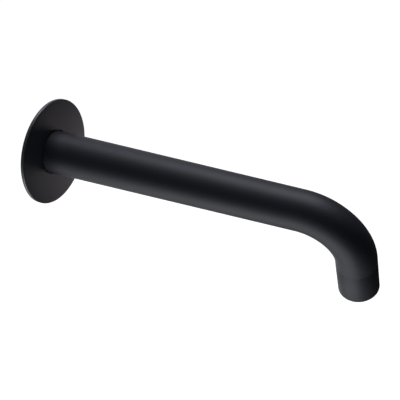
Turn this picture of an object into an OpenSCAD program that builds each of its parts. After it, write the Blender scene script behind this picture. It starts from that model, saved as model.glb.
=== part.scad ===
// Wall-mounted spout: a tapered bent tube on a thin round wall flange, with an aerator in its nozzle.
// The origin is where the tube's axis meets the wall. +X points out of the wall and +Z points up.

/* [Tube] */
// Straight part of the tube, from the wall to the start of the bend
straight_len = 169; // [120:0.1:260]
// Radius of the bend, on the tube's centre line
bend_r = 31; // [26:0.1:60]
// Angle through which the tube bends down
bend_angle = 90; // [60:1:100]
// Straight end of the tube below the bend
drop_len = 4.5; // [4:0.1:60]
// Outside diameter at the wall
tube_wall_d = 27; // [26:0.05:34]
// Outside diameter from the bend to the outlet
tube_end_d = 24.4; // [23.6:0.05:30]
// Thickness of the tube's wall
tube_t = 1.3; // [0.9:0.05:1.6]
// Parallel stretch at the wall that runs on past the inlet bush, before the taper starts
seat_spare = 0.1; // [0:0.1:20]

/* [Inlet] */
// Diameter of the inlet's bore, inside a G 1/2 female thread
inlet_bore_d = 18.631; // [18:0.001:19]
// Length of the inlet's thread
inlet_thread_len = 13; // [9:0.5:20]
// Depth of the groove at the bottom of the thread
inlet_groove_depth = 0.6; // [0.3:0.05:1]
// Thickness of the flat inlet washer
inlet_washer_t = 2; // [1:0.1:3]
// Width of the shoulder that the washer lies on
inlet_shoulder_w = 2.8; // [1.5:0.1:4.5]
// Thickness of the inlet's shoulder
inlet_shoulder_t = 4.8; // [2:0.1:8]

/* [Wall flange] */
// Diameter of the flange
flange_d = 67; // [58:0.1:90]
// Thickness of the flange
flange_t = 2; // [1.8:0.1:6]
// Width of the dark ring between the flange and the tube
flange_gap = 0.8; // [0.4:0.05:1.2]
// Chamfer on the flange's front rim
flange_break = 0.35; // [0.1:0.05:0.6]
// Section of the rubber ring in the flange's bore
flange_ring_section = 1.5; // [1.3:0.05:1.7]
// Width of the flange's back that rests on the wall, outside the gasket
gasket_margin = 3.5; // [2:0.1:6]
// Width of the soft gasket behind the flange
gasket_w = 9; // [4:0.5:13]
// Thickness of the gasket
gasket_t = 1; // [0.5:0.1:1.3]

/* [Nozzle] */
// Length of the nozzle
nozzle_len = 21.75; // [19:0.05:30]
// Height of the dark seam between the tube and the nozzle
seam_gap = 0.15; // [0.05:0.05:0.5]
// Chamfer on the nozzle's upper rim
nozzle_top_break = 0.2; // [0.05:0.05:0.4]
// Rounding of the nozzle's lower rim, outside
nozzle_end_round = 0.6; // [0.2:0.1:1]
// Wall of the nozzle beside its thread
nozzle_thread_wall = 1.2; // [0.8:0.05:1.6]
// Wall of the nozzle beside the aerator
nozzle_wall = 1.9; // [1.7:0.05:2.6]
// Length of thread on the outlet bush
nozzle_thread_len = 6.3; // [4:0.1:8]
// Length of the bush's plug inside the tube
outlet_plug_len = 4; // [2:0.1:4.5]
// Wall of the outlet bush beside its thread
outlet_bush_wall = 2.5; // [2:0.1:3.5]
// Height of the nozzle's lower lip
lip_t = 1.5; // [0.8:0.1:2]
// Width of the nozzle's lower lip
lip_w = 1; // [0.5:0.1:1.5]

/* [Aerator] */
// Height of the collar that the aerator's case hangs from
collar_t = 1.2; // [0.8:0.1:1.6]
// Wall of the case beside the plates
case_wall = 1; // [0.8:0.05:1.2]
// Width of the ledge that the jet plate rests on
case_ledge = 0.6; // [0.4:0.05:0.8]
// Thickness of the flat washer above the collar
nozzle_washer_t = 1.8; // [1.2:0.1:2.4]
// Depth of the honeycomb at the outlet
comb_t = 2.8; // [2:0.1:3.4]
// Distance between the honeycomb's cells
comb_pitch = 2.3; // [2:0.1:3]
// Thickness of the honeycomb's webs
comb_web = 0.35; // [0.25:0.05:0.5]
// Thickness of each mesh screen
screen_t = 0.4; // [0.2:0.05:0.6]
// Distance between the openings of a screen
screen_pitch = 1.7; // [1.5:0.1:2.5]
// Width of one opening of a screen
screen_hole = 1.2; // [0.8:0.1:1.3]
// Width of a screen's plain rim
screen_rim = 0.5; // [0.3:0.1:1.5]
// Thickness of the jet plate
jet_plate_t = 1.5; // [1:0.1:1.8]
// Thickness of the jet plate's round foot
jet_foot_t = 0.9; // [0.5:0.1:1.4]
// Diameter of one jet hole
jet_d = 0.9; // [0.6:0.1:1.1]
// Number of jets in the outer ring
jet_count = 20; // [12:1:24]
// Distance between the two rings of jets
jet_row_gap = 1.8; // [1.4:0.1:3]
// Thickness of the flow regulator
regulator_t = 2.3; // [2:0.1:2.5]
// Depth of the regulator's ring groove
regulator_groove = 1.5; // [1:0.05:1.7]
// Mean diameter of the regulator's ring groove
regulator_ring_d = 11.5; // [10:0.1:12.5]
// Section of the regulator's elastic ring
regulator_ring_section = 1.4; // [1:0.05:1.45]
// Number of slots in the regulator
regulator_slots = 12; // [6:1:16]
// Width of one regulator slot
regulator_slot_w = 1; // [0.6:0.1:1.4]
// Thickness of the strainer's skin
strainer_t = 0.7; // [0.5:0.05:0.9]
// Height of the strainer's dome above its rim
strainer_rise = 3.6; // [2.4:0.1:4.4]
// Height of the strainer's rim
strainer_rim_t = 1; // [0.6:0.1:1.3]
// Diameter of one strainer hole
strainer_hole_d = 1; // [0.6:0.1:1.1]
// Distance between the strainer's rings of holes
strainer_pitch = 2; // [1.7:0.1:2.3]
// Holes that each ring of the strainer has more than the one inside it
strainer_step = 6; // [4:1:7]

/* [Fits] */
// Radial clearance of washers and drop-in pieces
slip = 0.1; // [0.05:0.01:0.2]
// Clearance beside the flange's rubber ring
ring_slip = 0.03; // [0.01:0.01:0.05]
// Radial clearance in the nozzle's thread
thread_slip = 0.03; // [0.01:0.01:0.05]
// Gap between the nozzle's lip and the end of the aerator's case
case_end_gap = 0.5; // [0.2:0.1:1]
// Depth of the strainer's rim below the top of the case
rim_depth = 0.3; // [0:0.1:0.6]
// Radial clearance between the strainer's dome and the outlet bush
dome_gap = 0.3; // [0.2:0.05:0.6]

/* [Hidden] */
$fn = 96;
// Length by which a cut runs past the face it opens
over = 1;
coating = [0.12, 0.12, 0.13];
brass = [0.78, 0.62, 0.33];
rubber = [0.07, 0.07, 0.07];
fibre = [0.35, 0.12, 0.1];
foam = [0.25, 0.25, 0.26];
casing = [0.86, 0.87, 0.88];
steel = [0.7, 0.7, 0.72];
regulator_green = [0.3, 0.55, 0.4];

// Inlet, measured along X from the wall
tube_wall_r = tube_wall_d / 2;
tube_end_r = tube_end_d / 2;
inlet_bush_r = tube_wall_r - tube_t;
inlet_bore_r = inlet_bore_d / 2;
inlet_groove_r = inlet_bore_r + inlet_groove_depth;
inlet_way_r = inlet_bore_r - inlet_shoulder_w;
inlet_groove_len = inlet_washer_t + slip;
inlet_bush_len = inlet_thread_len + inlet_groove_len + inlet_shoulder_t;
inlet_washer_x = inlet_thread_len + slip;
seat_len = inlet_bush_len + seat_spare;

// Flange, from the tube outwards
flange_r = flange_d / 2;
flange_hole_r = tube_wall_r + flange_gap;
flange_seat_r = tube_wall_r + flange_ring_section;
flange_seat_depth = flange_ring_section + 2 * ring_slip;
gasket_outer_r = flange_r - gasket_margin;
gasket_inner_r = gasket_outer_r - gasket_w;

// Nozzle, from the outside inwards
thread_r = tube_end_r - nozzle_thread_wall;
outlet_plug_r = tube_end_r - tube_t;
outlet_way_r = thread_r - outlet_bush_wall;
collar_r = thread_r - slip;
nozzle_bore_r = tube_end_r - nozzle_wall;
lip_bore_r = nozzle_bore_r - lip_w;
case_r = nozzle_bore_r - slip;
case_bore_r = case_r - case_wall;
plate_r = case_bore_r - slip;
chamber_r = case_bore_r - case_ledge;
screen_r = chamber_r - slip;

// Heights below the end of the bend: from the seam down, and then from the lip up
nozzle_top_z = -drop_len - seam_gap;
bush_end_z = -drop_len - nozzle_thread_len;
case_top_z = bush_end_z - nozzle_washer_t;
case_seat_z = case_top_z - collar_t;
strainer_z = case_top_z - rim_depth - strainer_rim_t;
regulator_z = strainer_z - regulator_t;
regulator_floor_z = strainer_z - regulator_groove;
jet_plate_z = regulator_z - jet_plate_t;
tip_z = nozzle_top_z - nozzle_len;
case_end_z = tip_z + lip_t + case_end_gap;
comb_top_z = case_end_z + comb_t;
upper_screen_z = comb_top_z + screen_t;
jet_foot_z = upper_screen_z + screen_t;

dome_base_r = outlet_way_r - dome_gap;
dome_r = (dome_base_r * dome_base_r + strainer_rise * strainer_rise) / (2 * strainer_rise);

// Sub-part to show, or all of them

// Turns a child's +Z along the tube's straight run
module along_x() {
    rotate([0, 90, 0]) children();
}

// Carries a child to the end of the bend, with -Z along the flow
module at_outlet() {
    translate([straight_len, 0, -bend_r]) rotate([0, bend_angle - 90, 0]) translate([bend_r, 0, 0]) children();
}

// Cylinder between two heights
module turned(r, from_z, to_z) {
    translate([0, 0, from_z]) cylinder(r = r, h = to_z - from_z);
}

// Ring or pipe between two radii and two heights
module ring(outer_r, inner_r, from_z, to_z) {
    difference() {
        turned(outer_r, from_z, to_z);
        turned(inner_r, from_z - over, to_z + over);
    }
}

// Evenly spaced copies of a child round the axis, at a radius
module round_row(count, row_r) {
    for (i = [0 : count - 1])
        rotate([0, 0, i * 360 / count]) translate([row_r, 0, 0]) children();
}

// Solid that follows the tube's route: parallel seat, taper, bend and straight end
module route(wall_r, end_r, past_end) {
    along_x() turned(wall_r, -past_end, seat_len);
    translate([seat_len, 0, 0]) along_x() cylinder(r1 = wall_r, r2 = end_r, h = straight_len - seat_len);
    translate([straight_len, 0, -bend_r]) rotate([90, 0, 0]) rotate([0, 0, 90 - bend_angle])
        rotate_extrude(angle = bend_angle) translate([bend_r, 0]) circle(r = end_r);
    at_outlet() turned(end_r, -drop_len - past_end, 0);
}

// One hollow tube, drawn to a taper and bent at its far end
module spout_tube() {
    color(coating) difference() {
        route(tube_wall_r, tube_end_r, 0);
        route(tube_wall_r - tube_t, tube_end_r - tube_t, over);
    }
}

// Threaded bush brazed into the tube's wall end
module inlet_bush() {
    color(brass) along_x() difference() {
        turned(inlet_bush_r, 0, inlet_bush_len);
        turned(inlet_bore_r, -over, inlet_thread_len);
        turned(inlet_groove_r, inlet_thread_len, inlet_thread_len + inlet_groove_len);
        turned(inlet_way_r, inlet_thread_len, inlet_bush_len + over);
    }
}

// Flat seal held in the groove, against the inlet's shoulder
module inlet_washer() {
    color(fibre) along_x()
        ring(inlet_groove_r - slip, inlet_way_r, inlet_washer_x, inlet_washer_x + inlet_washer_t);
}

// Thin cover plate, with a seat for the rubber ring and a recess for the gasket at the back
module wall_flange() {
    color(coating) along_x() difference() {
        union() {
            turned(flange_r, 0, flange_t - flange_break);
            translate([0, 0, flange_t - flange_break])
                cylinder(r1 = flange_r, r2 = flange_r - flange_break, h = flange_break);
        }
        turned(flange_hole_r, -over, flange_t + over);
        turned(flange_seat_r, -over, flange_seat_depth);
        ring(gasket_outer_r + slip, gasket_inner_r - slip, -over, gasket_t);
    }
}

// Rubber ring that grips the tube inside the flange
module flange_o_ring() {
    mean_r = flange_ring_section / 2;
    color(rubber) translate([flange_seat_depth - ring_slip - mean_r, 0, 0]) along_x()
        rotate_extrude() translate([tube_wall_r + mean_r, 0]) circle(r = mean_r - ring_slip);
}

// Soft flat ring that seals the flange to the wall
module wall_gasket() {
    color(foam) along_x() ring(gasket_outer_r, gasket_inner_r, 0, gasket_t);
}

// Bush brazed into the tube's lower end, with the nozzle's male thread below it
module outlet_bush() {
    color(brass) at_outlet() difference() {
        union() {
            turned(outlet_plug_r, -drop_len, outlet_plug_len - drop_len);
            turned(thread_r, bush_end_z, -drop_len);
        }
        turned(outlet_way_r, bush_end_z - over, outlet_plug_len - drop_len + over);
    }
}

// Outside of the nozzle: a sleeve with a chamfered top and a rounded lower rim
module nozzle_outside() {
    turned(tube_end_r, tip_z + nozzle_end_round, nozzle_top_z - nozzle_top_break);
    translate([0, 0, nozzle_top_z - nozzle_top_break])
        cylinder(r1 = tube_end_r, r2 = tube_end_r - nozzle_top_break, h = nozzle_top_break);
    turned(tube_end_r - nozzle_end_round, tip_z, tip_z + nozzle_end_round);
    translate([0, 0, tip_z + nozzle_end_round]) rotate_extrude()
        translate([tube_end_r - nozzle_end_round, 0]) circle(r = nozzle_end_round);
}

// Turned sleeve, threaded above and stepped inside to carry the aerator's collar
module nozzle() {
    color(coating) at_outlet() difference() {
        nozzle_outside();
        turned(thread_r + thread_slip, case_seat_z, nozzle_top_z + over);
        turned(nozzle_bore_r, tip_z + lip_t, nozzle_top_z);
        turned(lip_bore_r, tip_z - over, nozzle_top_z);
    }
}

// Flat seal pressed between the outlet bush and the aerator's collar
module nozzle_washer() {
    color(rubber) at_outlet() ring(collar_r, outlet_way_r, case_top_z, bush_end_z);
}

// Six-sided prisms on a honeycomb pattern, whole cells only, that reach out to a radius
module honeycomb_cells(reach_r, from_z, to_z) {
    row_step = comb_pitch * sin(60);
    cell_r = (comb_pitch - comb_web) / 2 / cos(30);
    rows = floor(reach_r / row_step);
    columns = ceil(reach_r / comb_pitch);
    for (row = [-rows : rows])
        for (column = [-columns : columns]) {
            centre = [(column + (abs(row) % 2) / 2) * comb_pitch, row * row_step];
            if (norm(centre) + cell_r < reach_r)
                translate([centre[0], centre[1], from_z]) rotate([0, 0, 30])
                    cylinder(r = cell_r, h = to_z - from_z, $fn = 6);
        }
}

// Case with a collar to hang from, a ledge for the jet plate and a honeycomb outlet
module aerator_body() {
    color(casing) at_outlet() difference() {
        union() {
            turned(case_r, case_end_z, case_top_z);
            turned(collar_r, case_seat_z, case_top_z);
        }
        turned(case_bore_r, jet_plate_z, case_top_z + over);
        turned(chamber_r, comb_top_z, case_top_z);
        honeycomb_cells(chamber_r, case_end_z - over, comb_top_z + over);
    }
}

// Square openings on a square pattern, whole openings only, inside a radius
module mesh_openings(reach_r) {
    half = floor(reach_r / screen_pitch);
    corner = screen_hole / sqrt(2);
    for (column = [-half : half])
        for (row = [-half : half])
            if (norm([column, row]) * screen_pitch + corner < reach_r)
                translate([column * screen_pitch, row * screen_pitch, screen_t / 2])
                    cube([screen_hole, screen_hole, 2 * screen_t], center = true);
}

// Mesh disc that stands on z = 0
module screen() {
    difference() {
        cylinder(r = screen_r, h = screen_t);
        mesh_openings(screen_r - screen_rim);
    }
}

// Mesh disc on top of the honeycomb
module lower_screen() {
    color(steel) at_outlet() translate([0, 0, comb_top_z]) screen();
}

// Mesh disc on top of the first one, turned to cross it
module upper_screen() {
    color(steel) at_outlet() translate([0, 0, upper_screen_z]) rotate([0, 0, 45]) screen();
}

// Plate of small holes on a round foot, with a rim that rests on the case's ledge
module jet_plate() {
    foot_inner_r = screen_r - jet_foot_t;
    color(casing) at_outlet() difference() {
        union() {
            turned(plate_r, jet_plate_z, regulator_z);
            ring(screen_r, foot_inner_r, jet_foot_z, jet_plate_z);
        }
        round_row(jet_count, foot_inner_r - jet_d)
            turned(jet_d / 2, jet_plate_z - over, regulator_z + over);
        round_row(floor(jet_count / 2), foot_inner_r - jet_d - jet_row_gap)
            turned(jet_d / 2, jet_plate_z - over, regulator_z + over);
    }
}

// Disc with a ring groove whose floor is slotted, so that the ring can close the slots
module flow_regulator() {
    ring_r = regulator_ring_d / 2;
    half_groove = regulator_ring_section / 2 + slip;
    color(regulator_green) at_outlet() difference() {
        turned(plate_r, regulator_z, strainer_z);
        ring(ring_r + half_groove, ring_r - half_groove, regulator_floor_z, strainer_z + over);
        round_row(regulator_slots, ring_r) translate([0, -regulator_slot_w / 2, regulator_z - over])
            cube([half_groove, regulator_slot_w, regulator_floor_z - regulator_z + 2 * over]);
    }
}

// Elastic ring that lies on the regulator's slotted floor
module regulator_ring() {
    section_r = regulator_ring_section / 2;
    color(rubber) at_outlet() translate([0, 0, regulator_floor_z + section_r])
        rotate_extrude() translate([regulator_ring_d / 2, 0]) circle(r = section_r);
}

// Part of a ball inside the dome's radius, from a height up
module dome(ball_r, from_z) {
    top_z = strainer_z + strainer_rim_t + strainer_rise;
    intersection() {
        translate([0, 0, top_z - dome_r]) sphere(r = ball_r);
        turned(dome_base_r, from_z, top_z + over);
    }
}

// Perforated dome that keeps grit out, on a flat rim
module strainer() {
    color(casing) at_outlet() difference() {
        union() {
            turned(plate_r, strainer_z, strainer_z + strainer_rim_t);
            dome(dome_r, strainer_z);
        }
        dome(dome_r - strainer_t, strainer_z - over);
        for (row = [0 : floor(dome_base_r / strainer_pitch) - 1])
            round_row(max(1, strainer_step * row), strainer_pitch * row)
                turned(strainer_hole_d / 2, strainer_z - over, bush_end_z + strainer_rise + over);
    }
}

spout_tube();
wall_flange();
nozzle();
inlet_bush();
inlet_washer();
flange_o_ring();
wall_gasket();
outlet_bush();
nozzle_washer();
aerator_body();
lower_screen();
upper_screen();
jet_plate();
flow_regulator();
regulator_ring();
strainer();
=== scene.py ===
import bpy
import bmesh
from math import radians, pi, sin, cos, hypot, atan2, floor, sqrt
from mathutils import Matrix, Vector


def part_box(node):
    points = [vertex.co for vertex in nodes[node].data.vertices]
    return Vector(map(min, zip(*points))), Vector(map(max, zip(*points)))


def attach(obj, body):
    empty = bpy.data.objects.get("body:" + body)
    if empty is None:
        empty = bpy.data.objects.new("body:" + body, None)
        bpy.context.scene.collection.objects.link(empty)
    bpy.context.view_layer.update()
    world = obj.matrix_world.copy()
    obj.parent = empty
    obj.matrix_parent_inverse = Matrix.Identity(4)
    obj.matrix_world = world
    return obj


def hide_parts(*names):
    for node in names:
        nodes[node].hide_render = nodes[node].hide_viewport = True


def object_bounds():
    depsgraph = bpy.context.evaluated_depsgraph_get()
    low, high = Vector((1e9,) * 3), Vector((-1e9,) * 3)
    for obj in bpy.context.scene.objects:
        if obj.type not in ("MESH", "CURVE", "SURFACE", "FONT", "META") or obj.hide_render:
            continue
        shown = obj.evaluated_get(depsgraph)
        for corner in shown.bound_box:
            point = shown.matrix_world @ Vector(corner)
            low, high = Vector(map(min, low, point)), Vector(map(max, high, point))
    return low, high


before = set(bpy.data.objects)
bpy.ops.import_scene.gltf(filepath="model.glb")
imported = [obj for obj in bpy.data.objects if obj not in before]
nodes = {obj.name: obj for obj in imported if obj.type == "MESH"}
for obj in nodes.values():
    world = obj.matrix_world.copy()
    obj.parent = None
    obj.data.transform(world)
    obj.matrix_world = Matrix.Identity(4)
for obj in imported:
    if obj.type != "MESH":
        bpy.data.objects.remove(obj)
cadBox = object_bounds()
print("frame loaded:", len(nodes), "nodes")


# camera: stands in front of the spout and above it, turned a little on its own axis
cameraView = {
    "azimuth": 36.54,      # degrees, 0 looks along +Y
    "elevation": 46.46,    # degrees above the horizon
    "roll": -14.46,        # degrees, the spout slopes more than a level camera would show
    "distance": 0.6048,    # metres from the aim point
    "aim": (0.1033, -0.0011, -0.01148),
    "lens": 91.1,          # mm
    "sensor": 36,          # mm wide
    "reach": (0.01, 20),   # nearest and farthest that it sees, metres
}


def viewAxes(view):
    # right, up and back of the camera as unit vectors
    azimuth = radians(view["azimuth"])
    elevation = radians(view["elevation"])
    roll = radians(view["roll"])
    back = Vector((sin(azimuth) * cos(elevation), -cos(azimuth) * cos(elevation), sin(elevation)))
    level = Vector((cos(azimuth), sin(azimuth), 0))
    upright = back.cross(level)
    right = cos(roll) * level + sin(roll) * upright
    up = cos(roll) * upright - sin(roll) * level
    return right, up, back


def makeCamera(view):
    right, up, back = viewAxes(view)
    data = bpy.data.cameras.new("camera")
    data.lens = view["lens"]
    data.sensor_width = view["sensor"]
    data.clip_start, data.clip_end = view["reach"]
    camera = bpy.data.objects.new("camera", data)
    bpy.context.scene.collection.objects.link(camera)
    camera.location = Vector(view["aim"]) + back * view["distance"]
    camera.rotation_euler = Matrix((right, up, back)).transposed().to_euler()
    bpy.context.scene.camera = camera
    return camera


makeCamera(cameraView)
print("camera placed")


# materials
def newMaterial(name):
    material = bpy.data.materials.new(name)
    material.use_nodes = True
    tree = material.node_tree
    shader = tree.nodes["Principled BSDF"]
    return material, tree, shader


def noiseOn(tree, place, scale, detail):
    noise = tree.nodes.new("ShaderNodeTexNoise")
    noise.inputs["Scale"].default_value = scale
    noise.inputs["Detail"].default_value = detail
    tree.links.new(place, noise.inputs["Vector"])
    return noise.outputs["Fac"]


def objectNoise(tree, scale, detail):
    # noise in object coordinates, so it stays with the piece
    place = tree.nodes.new("ShaderNodeTexCoord")
    return noiseOn(tree, place.outputs["Object"], scale, detail)


def rampBetween(tree, source, low, high):
    # spreads a 0 to 1 value between two limits
    spread = tree.nodes.new("ShaderNodeMapRange")
    spread.inputs["To Min"].default_value = low
    spread.inputs["To Max"].default_value = high
    tree.links.new(source, spread.inputs["Value"])
    return spread.outputs["Result"]


def addBump(tree, shader, height, strength, distance):
    bump = tree.nodes.new("ShaderNodeBump")
    bump.inputs["Strength"].default_value = strength
    bump.inputs["Distance"].default_value = distance
    tree.links.new(height, bump.inputs["Height"])
    tree.links.new(bump.outputs["Normal"], shader.inputs["Normal"])


def mixTones(tree, source, tones):
    # colour between two tones
    mix = tree.nodes.new("ShaderNodeMix")
    mix.data_type = "RGBA"
    mix.inputs[6].default_value, mix.inputs[7].default_value = tones    # colour sockets A and B
    tree.links.new(source, mix.inputs["Factor"])
    return mix.outputs[2]


def varySurface(tree, shader, source, look):
    # tone and roughness that vary together over the surface
    tree.links.new(mixTones(tree, source, look["tones"]), shader.inputs["Base Color"])
    tree.links.new(rampBetween(tree, source, *look["roughness"]), shader.inputs["Roughness"])


# in every look, grains, marks and clouds are counted per metre, and heights are in metres
coatingLook = {
    "tones": ((0.0088, 0.0106, 0.0166, 1), (0.0096, 0.0114, 0.0178, 1)),
    "gloss": (0.88, 0.90, 1, 1),    # cool tint of what the coating mirrors
    "shine": 0.5,                   # strength of the mirrored light
    "roughness": (0.55, 0.59),      # lowest and highest over the surface
    "clouds": 60,                   # soft change of tone
    "grain": 5200,
    "grainStrength": 0.25,
    "grainHeight": 0.000004,
}

# the flange's edge, with more shine than its face and a lighter tone painted on as light catching the edge
rimPaintedLightLook = {
    "tones": ((0.040, 0.045, 0.058, 1), (0.045, 0.050, 0.064, 1)),
    "gloss": (0.88, 0.90, 1, 1),
    "shine": 0.95,
    "roughness": (0.38, 0.42),
    "clouds": 60,
    "grain": 5200,
    "grainStrength": 0.25,
    "grainHeight": 0.000002,
}


def satinBlack(name, look):
    material, tree, shader = newMaterial(name)
    shader.inputs["Specular Tint"].default_value = look["gloss"]
    shader.inputs["Specular IOR Level"].default_value = look["shine"]
    varySurface(tree, shader, objectNoise(tree, look["clouds"], detail=3), look)
    grain = objectNoise(tree, look["grain"], detail=2)
    addBump(tree, shader, grain, look["grainStrength"], look["grainHeight"])
    return material


brassLook = {
    "tones": ((0.56, 0.37, 0.14, 1), (0.66, 0.46, 0.19, 1)),
    "roughness": (0.22, 0.36),
    "marks": 2600,                  # left by the lathe tool
    "markStrength": 0.4,
    "markHeight": 0.000012,
}


def turnedNoise(tree, centre, axis, scale):
    # noise that is the same all round an axis, like the marks of a lathe tool
    place = tree.nodes.new("ShaderNodeTexCoord")
    shift = tree.nodes.new("ShaderNodeMapping")
    shift.inputs["Location"].default_value = [-value for value in centre]
    tree.links.new(place.outputs["Object"], shift.inputs["Vector"])
    along = tree.nodes.new("ShaderNodeVectorMath")
    along.operation = "DOT_PRODUCT"
    along.inputs[1].default_value = axis
    across = tree.nodes.new("ShaderNodeVectorMath")
    across.operation = "MULTIPLY"
    across.inputs[1].default_value = [1 - abs(value) for value in axis]
    radius = tree.nodes.new("ShaderNodeVectorMath")
    radius.operation = "LENGTH"
    tree.links.new(shift.outputs["Vector"], along.inputs[0])
    tree.links.new(shift.outputs["Vector"], across.inputs[0])
    tree.links.new(across.outputs["Vector"], radius.inputs[0])
    joined = tree.nodes.new("ShaderNodeCombineXYZ")
    tree.links.new(along.outputs["Value"], joined.inputs["X"])
    tree.links.new(radius.outputs["Value"], joined.inputs["Y"])
    return noiseOn(tree, joined.outputs["Vector"], scale, detail=2)


def turnedBrass(name, look, centre, axis):
    material, tree, shader = newMaterial(name)
    shader.inputs["Metallic"].default_value = 1
    marks = turnedNoise(tree, centre, axis, look["marks"])
    varySurface(tree, shader, marks, look)
    addBump(tree, shader, marks, look["markStrength"], look["markHeight"])
    return material


# finishes of the pieces inside and behind
rubberAndShadeLook = {
    # black rubber, set darker than the rubber itself as painted shade for the gap round the tube at the
    # flange; every rubber piece gets this tone
    "tones": ((0.004, 0.004, 0.004, 1), (0.008, 0.008, 0.008, 1)),
    "roughness": (0.6, 0.75), "metallic": 0, "shine": 0.3, "grain": 1500, "grainHeight": 0.00001,
}
fibreLook = {
    "tones": ((0.15, 0.032, 0.022, 1), (0.26, 0.060, 0.040, 1)),
    "roughness": (0.7, 0.9), "metallic": 0, "shine": 0.5, "grain": 2500, "grainHeight": 0.00002,
}
foamLook = {
    "tones": ((0.035, 0.035, 0.037, 1), (0.065, 0.065, 0.068, 1)),
    "roughness": (0.85, 0.95), "metallic": 0, "shine": 0.3, "grain": 1800, "grainHeight": 0.00008,
}
casingLook = {
    "tones": ((0.53, 0.54, 0.55, 1), (0.57, 0.58, 0.59, 1)),
    "roughness": (0.35, 0.5), "metallic": 0, "shine": 0.5, "grain": 700, "grainHeight": 0.000006,
}
steelLook = {
    "tones": ((0.58, 0.58, 0.59, 1), (0.66, 0.66, 0.67, 1)),
    "roughness": (0.2, 0.32), "metallic": 1, "shine": 0.5, "grain": 1200, "grainHeight": 0.000004,
}
greenLook = {
    "tones": ((0.060, 0.21, 0.105, 1), (0.080, 0.27, 0.135, 1)),
    "roughness": (0.35, 0.5), "metallic": 0, "shine": 0.5, "grain": 700, "grainHeight": 0.000006,
}
grainStrength = 0.4


def grainedFinish(name, look):
    # one finish with a fine grain
    material, tree, shader = newMaterial(name)
    shader.inputs["Metallic"].default_value = look["metallic"]
    shader.inputs["Specular IOR Level"].default_value = look["shine"]
    grain = objectNoise(tree, look["grain"], detail=3)
    varySurface(tree, shader, grain, look)
    addBump(tree, shader, grain, grainStrength, look["grainHeight"])
    return material


# middle of the nozzle's lower end, and of the flange's back
nozzleLow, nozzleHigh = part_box("nozzle")
tip = ((nozzleLow[0] + nozzleHigh[0]) / 2, 0, nozzleLow[2])
wallCentre = (0, 0, 0)

coating = satinBlack("satinBlackCoating", coatingLook)
# a lighter copy of the coating: painted light on the flange's edge
rimPaintedLightCoating = satinBlack("rimPaintedLightCoating", rimPaintedLightLook)
inletBrass = turnedBrass("inletBrass", brassLook, wallCentre, axis=(1, 0, 0))
outletBrass = turnedBrass("outletBrass", brassLook, tip, axis=(0, 0, 1))
# black rubber darkened with painted shade
rubber = grainedFinish("blackRubberAndShade", rubberAndShadeLook)
fibre = grainedFinish("redFibre", fibreLook)
foam = grainedFinish("greyFoam", foamLook)
casing = grainedFinish("mouldedGrey", casingLook)
steel = grainedFinish("brightSteel", steelLook)
green = grainedFinish("mouldedGreen", greenLook)

finishes = {
    "spout_tube": coating, "wall_flange": coating, "nozzle": coating,
    "inlet_bush": inletBrass, "outlet_bush": outletBrass,
    "inlet_washer": fibre, "flange_o_ring": rubber, "wall_gasket": foam, "nozzle_washer": rubber,
    "aerator_body": casing, "jet_plate": casing, "strainer": casing,
    "lower_screen": steel, "upper_screen": steel,
    "flow_regulator": green, "regulator_ring": rubber,
}


def dressNode(name, material):
    piece = nodes[name]
    piece.data.materials.clear()
    piece.data.materials.append(material)


for name, material in finishes.items():
    dressNode(name, material)
print("finishes on")


# turned pieces: profiles are in millimetres as (radius, height), spun round Z and then put in place
millimetre = 0.001


def spinProfile(profile, steps=96):
    shape = bmesh.new()
    points = [shape.verts.new((radius, 0, height)) for radius, height in profile]
    edges = [shape.edges.new((points[i - 1], points[i])) for i in range(len(points))]
    bmesh.ops.spin(shape, geom=points + edges, axis=(0, 0, 1), angle=2 * pi, steps=steps, use_merge=True)
    bmesh.ops.recalc_face_normals(shape, faces=shape.faces)
    return shape


def evenRows(radius, fromHeight, toHeight, spacing):
    count = max(1, round(abs(toHeight - fromHeight) / spacing))
    return [(radius, fromHeight + (toHeight - fromHeight) * i / count) for i in range(count + 1)]


def roundedCorner(radius, height, size, fromAngle, toAngle, steps=5):
    # arc of a profile round a centre, angles in degrees
    turns = [radians(fromAngle + (toAngle - fromAngle) * i / steps) for i in range(steps + 1)]
    return [(radius + size * cos(turn), height + size * sin(turn)) for turn in turns]


# share of a thread's turn that is flat at its crest, and again at its root
threadFlat = 0.12
# how far off the plain wall, in mm, a point may lie and still belong to it
wallSpare = 0.001


def cutThread(shape, thread):
    # moves the rows of a plain wall in or out along a right-hand helix
    start, end = thread["from"], thread["to"]
    for vert in shape.verts:
        x, y, height = vert.co
        radius = hypot(x, y)
        if abs(radius - thread["wall"]) > wallSpare or not start <= height <= end:
            continue
        phase = (height / thread["pitch"] - atan2(y, x) / (2 * pi)) % 1
        flank = min(1, max(0, (1 - abs(2 * phase - 1) - threadFlat) / (1 - 2 * threadFlat)))
        fade = min(1, (height - start) / thread["runOut"], (end - height) / thread["runOut"])
        scale = (radius + thread["depth"] * flank * max(0, fade)) / radius
        vert.co.x = x * scale
        vert.co.y = y * scale


def placeShape(shape, place, alongX=False):
    # millimetres to metres, then to its place in the frame
    bmesh.ops.scale(shape, vec=(millimetre, millimetre, millimetre), verts=shape.verts)
    if alongX:
        bmesh.ops.rotate(shape, matrix=Matrix.Rotation(pi / 2, 3, "Y"), verts=shape.verts)
    bmesh.ops.translate(shape, vec=place, verts=shape.verts)


def makePiece(shape, name, node, material, sharpAngle=32):
    mesh = bpy.data.meshes.new(name)
    shape.to_mesh(mesh)
    shape.free()
    for face in mesh.polygons:
        face.use_smooth = True
    mesh.set_sharp_from_angle(angle=radians(sharpAngle))
    mesh.materials.append(material)
    piece = bpy.data.objects.new(name, mesh)
    bpy.context.scene.collection.objects.link(piece)
    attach(piece, "root")
    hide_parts(node)
    return piece


# inlet bush with its pipe thread, G 1/2
inletSizes = {
    "outside": 12.2, "length": 19.9,
    "way": 6.5155, "shoulder": 15.1,        # narrow waterway, and where it starts
    "groove": 9.9155, "grooveStart": 13,
    "wall": 9.3155, "depth": 1.162, "pitch": 1.814, "rowsPerTurn": 12, "runOut": 0.7,
    "mouth": 10.55, "mouthDepth": 1.1, "edge": 0.2,
}


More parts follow.
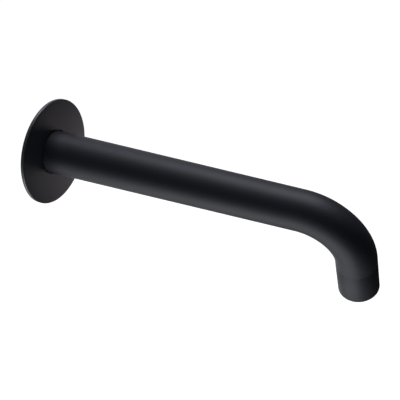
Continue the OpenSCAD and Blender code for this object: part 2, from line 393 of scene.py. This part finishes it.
def threadedInlet(size):
    out, edge, length = size["outside"], size["edge"], size["length"]
    way, groove = size["way"], size["groove"]
    profile = [(out - edge, 0), (out, edge), (out, length - edge), (out - edge, length)]
    profile += [(way + edge, length), (way, length - edge), (way, size["shoulder"])]
    profile += [(groove, size["shoulder"]), (groove, size["grooveStart"])]
    spacing = size["pitch"] / size["rowsPerTurn"]
    profile += evenRows(size["wall"], size["grooveStart"], size["mouthDepth"], spacing)
    profile += [(size["mouth"], 0)]
    shape = spinProfile(profile)
    cutThread(shape, {"wall": size["wall"], "depth": size["depth"], "pitch": size["pitch"],
                      "from": size["mouthDepth"], "to": size["grooveStart"], "runOut": size["runOut"]})
    placeShape(shape, wallCentre, alongX=True)
    return makePiece(shape, "threadedInlet", "inlet_bush", inletBrass)


# thread between the outlet bush and the nozzle, 22 mm with a pitch of 1 mm
outletThread = {"major": 11, "pitch": 1, "depth": 0.54, "spare": 0.03, "spareDepth": 0.06, "rows": 0.1}

bushSizes = {
    "plug": 10.9, "top": 25.9, "step": 21.9, "end": 15.6,
    "way": 8.5, "edge": 0.25, "runOut": 0.4,
}


def threadedOutlet(size, thread):
    major, depth, rows = thread["major"], thread["depth"], thread["rows"]
    way, plug, edge = size["way"], size["plug"], size["edge"]
    start = size["end"] + depth
    profile = [(way, size["end"]), (major - depth, size["end"]), (major, start)]
    profile += evenRows(major, start + rows, size["step"], rows)
    profile += [(plug, size["step"]), (plug, size["top"] - edge), (plug - edge, size["top"])]
    profile += [(way + edge, size["top"]), (way, size["top"] - edge)]
    shape = spinProfile(profile)
    cutThread(shape, {"wall": major, "depth": -depth, "pitch": thread["pitch"],
                      "from": start, "to": size["step"] - size["runOut"], "runOut": size["runOut"]})
    placeShape(shape, tip)
    return makePiece(shape, "threadedOutlet", "outlet_bush", outletBrass)


# nozzle sleeve: a fine edge at the seam, a thread inside and a lip that holds the aerator
sleeveSizes = {
    "outside": 12.2, "top": 21.82, "topEdge": 0.05, "endRound": 0.6,
    "threadTop": 21.4, "threadEnd": 15.2, "threadEdge": 0.22, "runOut": 0.3,
    "seat": 12.6, "bore": 10.3, "lipTop": 1.5, "lip": 9.3, "lipEdge": 0.15,
    "steps": 128,
}


def nozzleSleeve(size, thread):
    out, rounding, edge = size["outside"], size["endRound"], size["topEdge"]
    bore, lip, lipTop, lipEdge = size["bore"], size["lip"], size["lipTop"], size["lipEdge"]
    wall, rows = thread["major"] + thread["spare"], thread["rows"]
    depth = -thread["depth"] + thread["spareDepth"]
    profile = roundedCorner(out - rounding, rounding, rounding, -90, 0)
    profile += roundedCorner(out - edge, size["top"] - edge, edge, 0, 90, steps=2)
    profile += [(wall + size["threadEdge"], size["top"]), (wall, size["threadTop"] + rows)]
    profile += evenRows(wall, size["threadTop"], size["threadEnd"], rows)
    profile += [(wall, size["seat"]), (bore, size["seat"]), (bore, lipTop)]
    profile += [(lip, lipTop), (lip, lipEdge), (lip + lipEdge, 0)]
    shape = spinProfile(profile, size["steps"])
    cutThread(shape, {"wall": wall, "depth": depth, "pitch": thread["pitch"],
                      "from": size["threadEnd"], "to": size["threadTop"], "runOut": size["runOut"]})
    placeShape(shape, tip)
    return makePiece(shape, "nozzleSleeve", "nozzle", coating)


# wall flange: a thin plate with a softened rim, a seat for the rubber ring and a recess for the gasket
flangeSizes = {
    "outside": 33.5, "thickness": 2, "rimRound": 0.35, "backEdge": 0.1,
    "hole": 14.3, "holeEdge": 0.12, "ringSeat": 15, "ringSeatDepth": 1.56,
    "recess": (20.9, 30.1), "recessDepth": 1, "steps": 160,
}


def paintLitRim(shape, start):
    # the second material, the rim's painted light, goes on every face beyond a radius
    for face in shape.faces:
        middle = face.calc_center_median()
        face.material_index = int(hypot(middle.x, middle.y) > start)


def turnedFlange(size):
    out, thick, rounding = size["outside"], size["thickness"], size["rimRound"]
    hole, holeEdge = size["hole"], size["holeEdge"]
    seat, seatDepth = size["ringSeat"], size["ringSeatDepth"]
    inner, outer = size["recess"]
    profile = [(out - size["backEdge"], 0), (out, size["backEdge"])]
    profile += roundedCorner(out - rounding, thick - rounding, rounding, 0, 90)
    profile += [(hole + holeEdge, thick), (hole, thick - holeEdge)]
    profile += [(hole, seatDepth), (seat, seatDepth), (seat, 0)]
    profile += [(inner, 0), (inner, size["recessDepth"]), (outer, size["recessDepth"]), (outer, 0)]
    shape = spinProfile(profile, size["steps"])
    paintLitRim(shape, out - rounding / 2)
    placeShape(shape, wallCentre, alongX=True)
    piece = makePiece(shape, "turnedFlange", "wall_flange", coating)
    # the rim's painted-light material goes in as the second one
    piece.data.materials.append(rimPaintedLightCoating)
    return piece


# rubber ring in the flange, squeezed so that it touches the tube and its seat
ringSizes = {"middle": 14.25, "height": 0.785, "across": 0.757, "along": 0.775, "steps": 16}


def squeezedRing(size):
    profile = []
    for i in range(size["steps"]):
        turn = 2 * pi * i / size["steps"]
        radius = size["middle"] + size["across"] * cos(turn)
        profile.append((radius, size["height"] + size["along"] * sin(turn)))
    shape = spinProfile(profile)
    placeShape(shape, wallCentre, alongX=True)
    return makePiece(shape, "squeezedRing", "flange_o_ring", rubber, sharpAngle=60)


# woven wire screens inside the aerator
screenSizes = {
    "outside": 8.5, "rim": 0.5, "thickness": 0.4, "edge": 0.08,
    "wire": 0.2, "pitch": 0.7, "pointsPerPitch": 4,
}
lowerSeat = {"height": 4.8, "turn": 0}      # mm above the nozzle's lower end, and degrees
upperSeat = {"height": 5.2, "turn": 45}


def addWire(curve, size, row, reach, sideways):
    # one wire, which rises and dips by half its width at each crossing
    pitch, middle = size["pitch"], size["thickness"] / 2
    offset = row * pitch
    step = pitch / size["pointsPerPitch"]
    count = floor(sqrt(reach ** 2 - offset ** 2) / step)
    spline = curve.splines.new("POLY")
    spline.points.add(2 * count)
    for i, point in enumerate(spline.points):
        along = (i - count) * step
        lift = size["wire"] / 2 * cos(pi * (along / pitch + row))
        point.co = (offset, along, middle - lift, 1) if sideways else (along, offset, middle + lift, 1)


def wovenWires(size):
    # wires that pass over and under each other in turn, as beveled curves
    curve = bpy.data.curves.new("wires", "CURVE")
    curve.dimensions = "3D"
    curve.bevel_depth = size["wire"] / 2
    curve.bevel_resolution = 1
    curve.use_fill_caps = True
    reach = size["outside"] - size["rim"] / 2
    half = floor((reach - size["rim"]) / size["pitch"])
    for sideways in (False, True):
        for row in range(-half, half + 1):
            addWire(curve, size, row, reach, sideways)
    return curve


def screenRim(size):
    out, thick, edge = size["outside"], size["thickness"], size["edge"]
    inner = out - size["rim"]
    profile = [(inner, 0), (out - edge, 0), (out, edge)]
    profile += [(out, thick - edge), (out - edge, thick), (inner, thick)]
    return spinProfile(profile)


def wovenScreen(name, node, size, seat):
    curve = wovenWires(size)
    maker = bpy.data.objects.new("wires", curve)
    wires = bpy.data.meshes.new_from_object(maker)
    shape = screenRim(size)
    shape.from_mesh(wires)
    bpy.data.objects.remove(maker)
    bpy.data.curves.remove(curve)
    bpy.data.meshes.remove(wires)
    bmesh.ops.rotate(shape, matrix=Matrix.Rotation(radians(seat["turn"]), 3, "Z"), verts=shape.verts)
    placeShape(shape, (tip[0], tip[1], tip[2] + seat["height"] * millimetre))
    return makePiece(shape, name, node, steel, sharpAngle=50)


threadedInlet(inletSizes)
threadedOutlet(bushSizes, outletThread)
nozzleSleeve(sleeveSizes, outletThread)
turnedFlange(flangeSizes)
squeezedRing(ringSizes)
wovenScreen("lowerWeave", "lower_screen", screenSizes, lowerSeat)
wovenScreen("upperWeave", "upper_screen", screenSizes, upperSeat)
print("turned pieces and screens made")


# floor and world, distances in metres
studio = {
    "floorDrop": 0.95,                  # from the nozzle down to the floor
    "floorSize": 12,
    "floorWhite": 0.8,
    "floorRoughness": 0.9,
    "floorLift": (0.9, 1),              # glow of the floor where the camera sees it, near and far
    "floorFade": (1.4, 3.5),            # distances over which the glow grows
    "whiteSide": (-0.85, 0.35, -0.4),   # direction of the room's white side
    "whiteEdge": (0.55, 0.88),          # cosine from that direction where white starts and is full
    "roomWhite": 0.6,                   # what the white side lights the spout with
    "roomDark": 0.03,                   # the rest of the room
}


def mathNode(tree, operation, first, second):
    node = tree.nodes.new("ShaderNodeMath")
    node.operation = operation
    for socket, value in zip(node.inputs, (first, second)):
        if isinstance(value, (int, float)):
            socket.default_value = value
        else:
            tree.links.new(value, socket)
    return node.outputs["Value"]


def paleFloor(setting):
    # diffuse floor that takes the shadow, lifted to white where the camera sees it and fully so far out
    material, tree, shader = newMaterial("paleFloor")
    white = setting["floorWhite"]
    shader.inputs["Base Color"].default_value = (white, white, white, 1)
    shader.inputs["Roughness"].default_value = setting["floorRoughness"]
    shader.inputs["Emission Color"].default_value = (1, 1, 1, 1)
    place = tree.nodes.new("ShaderNodeTexCoord")
    reach = tree.nodes.new("ShaderNodeVectorMath")
    reach.operation = "LENGTH"
    tree.links.new(place.outputs["Object"], reach.inputs[0])
    lift = tree.nodes.new("ShaderNodeMapRange")
    lift.interpolation_type = "SMOOTHSTEP"
    limits = setting["floorFade"] + setting["floorLift"]
    for name, value in zip(("From Min", "From Max", "To Min", "To Max"), limits):
        lift.inputs[name].default_value = value
    tree.links.new(reach.outputs["Value"], lift.inputs["Value"])
    path = tree.nodes.new("ShaderNodeLightPath")
    glow = mathNode(tree, "MULTIPLY", path.outputs["Is Camera Ray"], lift.outputs["Result"])
    tree.links.new(glow, shader.inputs["Emission Strength"])
    return material


def makeFloor(setting):
    shape = bmesh.new()
    bmesh.ops.create_grid(shape, x_segments=1, y_segments=1, size=setting["floorSize"] / 2)
    height = cadBox[0][2] - setting["floorDrop"]
    bmesh.ops.translate(shape, verts=shape.verts, vec=(0, 0, height))
    mesh = bpy.data.meshes.new("floor")
    shape.to_mesh(mesh)
    shape.free()
    mesh.materials.append(paleFloor(setting))
    ground = bpy.data.objects.new("floor", mesh)
    bpy.context.scene.collection.objects.link(ground)
    ground.visible_glossy = False    # the coating mirrors the room, which is dark on the camera's side


def whiteSideMask(tree, setting):
    # 1 toward the room's white side, 0 toward its dark side
    place = tree.nodes.new("ShaderNodeTexCoord")
    facing = tree.nodes.new("ShaderNodeVectorMath")
    facing.operation = "DOT_PRODUCT"
    facing.inputs[1].default_value = Vector(setting["whiteSide"]).normalized()
    tree.links.new(place.outputs["Generated"], facing.inputs[0])
    fade = tree.nodes.new("ShaderNodeMapRange")
    fade.interpolation_type = "SMOOTHSTEP"
    fade.inputs["From Min"].default_value = setting["whiteEdge"][0]
    fade.inputs["From Max"].default_value = setting["whiteEdge"][1]
    tree.links.new(facing.outputs["Value"], fade.inputs["Value"])
    return fade.outputs["Result"]


def makeWorld(setting):
    # a room that is white on one side, while the camera sees plain white everywhere
    world = bpy.data.worlds.new("room")
    bpy.context.scene.world = world
    world.use_nodes = True
    tree = world.node_tree
    background = tree.nodes["Background"]
    background.inputs["Color"].default_value = (1, 1, 1, 1)
    path = tree.nodes.new("ShaderNodeLightPath")
    mirrored = mathNode(tree, "MAXIMUM", path.outputs["Is Glossy Ray"], path.outputs["Is Transmission Ray"])
    white = rampBetween(tree, mirrored, setting["roomWhite"], 1)
    room = mathNode(tree, "MULTIPLY", white, whiteSideMask(tree, setting))
    room = mathNode(tree, "MAXIMUM", room, setting["roomDark"])
    strength = mathNode(tree, "MAXIMUM", room, path.outputs["Is Camera Ray"])
    tree.links.new(strength, background.inputs["Strength"])


# lamps: sizes and distances in metres, powers in watts
softboxes = {
    "overheadLamp": {"aim": (0.1, 0, 0), "direction": (-0.1, 0.57, 0.80), "distance": 1.2,
                     "size": (0.9, 0.7), "power": 11.5},
    "lowerLamp": {"aim": (0.1, 0, 0), "direction": (-0.1, -0.79, -0.60), "distance": 0.9,
                  "size": (1.0, 0.8), "power": 6.4},
    "flangeLamp": {"aim": (0, 0, 0), "direction": (0.25, 0.6, -0.76), "distance": 0.25,
                   "size": (0.12, 0.12), "power": 0.103, "color": (1, 0.91, 0.93)},
    "nozzleLamp": {"aim": (0.2, 0, -0.045), "direction": (0.5, -0.3, -0.8), "distance": 0.3,
                   "size": (0.15, 0.15), "power": 0.027},
}


def makeSoftbox(name, aim, direction, distance, size, power, color=(1, 1, 1)):
    # flat lamp that faces the spout from a direction
    data = bpy.data.lights.new(name, "AREA")
    data.shape = "RECTANGLE"
    data.size, data.size_y = size
    data.energy = power
    data.color = color
    lamp = bpy.data.objects.new(name, data)
    bpy.context.scene.collection.objects.link(lamp)
    away = Vector(direction).normalized()
    lamp.location = Vector(aim) + away * distance
    lamp.rotation_euler = away.to_track_quat("Z", "Y").to_euler()
    lamp.visible_camera = False
    return lamp


makeFloor(studio)
makeWorld(studio)
for name, box in softboxes.items():
    makeSoftbox(name, **box)
bpy.context.scene.view_settings.view_transform = "Standard"
print("studio lit")


def keepSizes():
    print("scene built")


keepSizes()
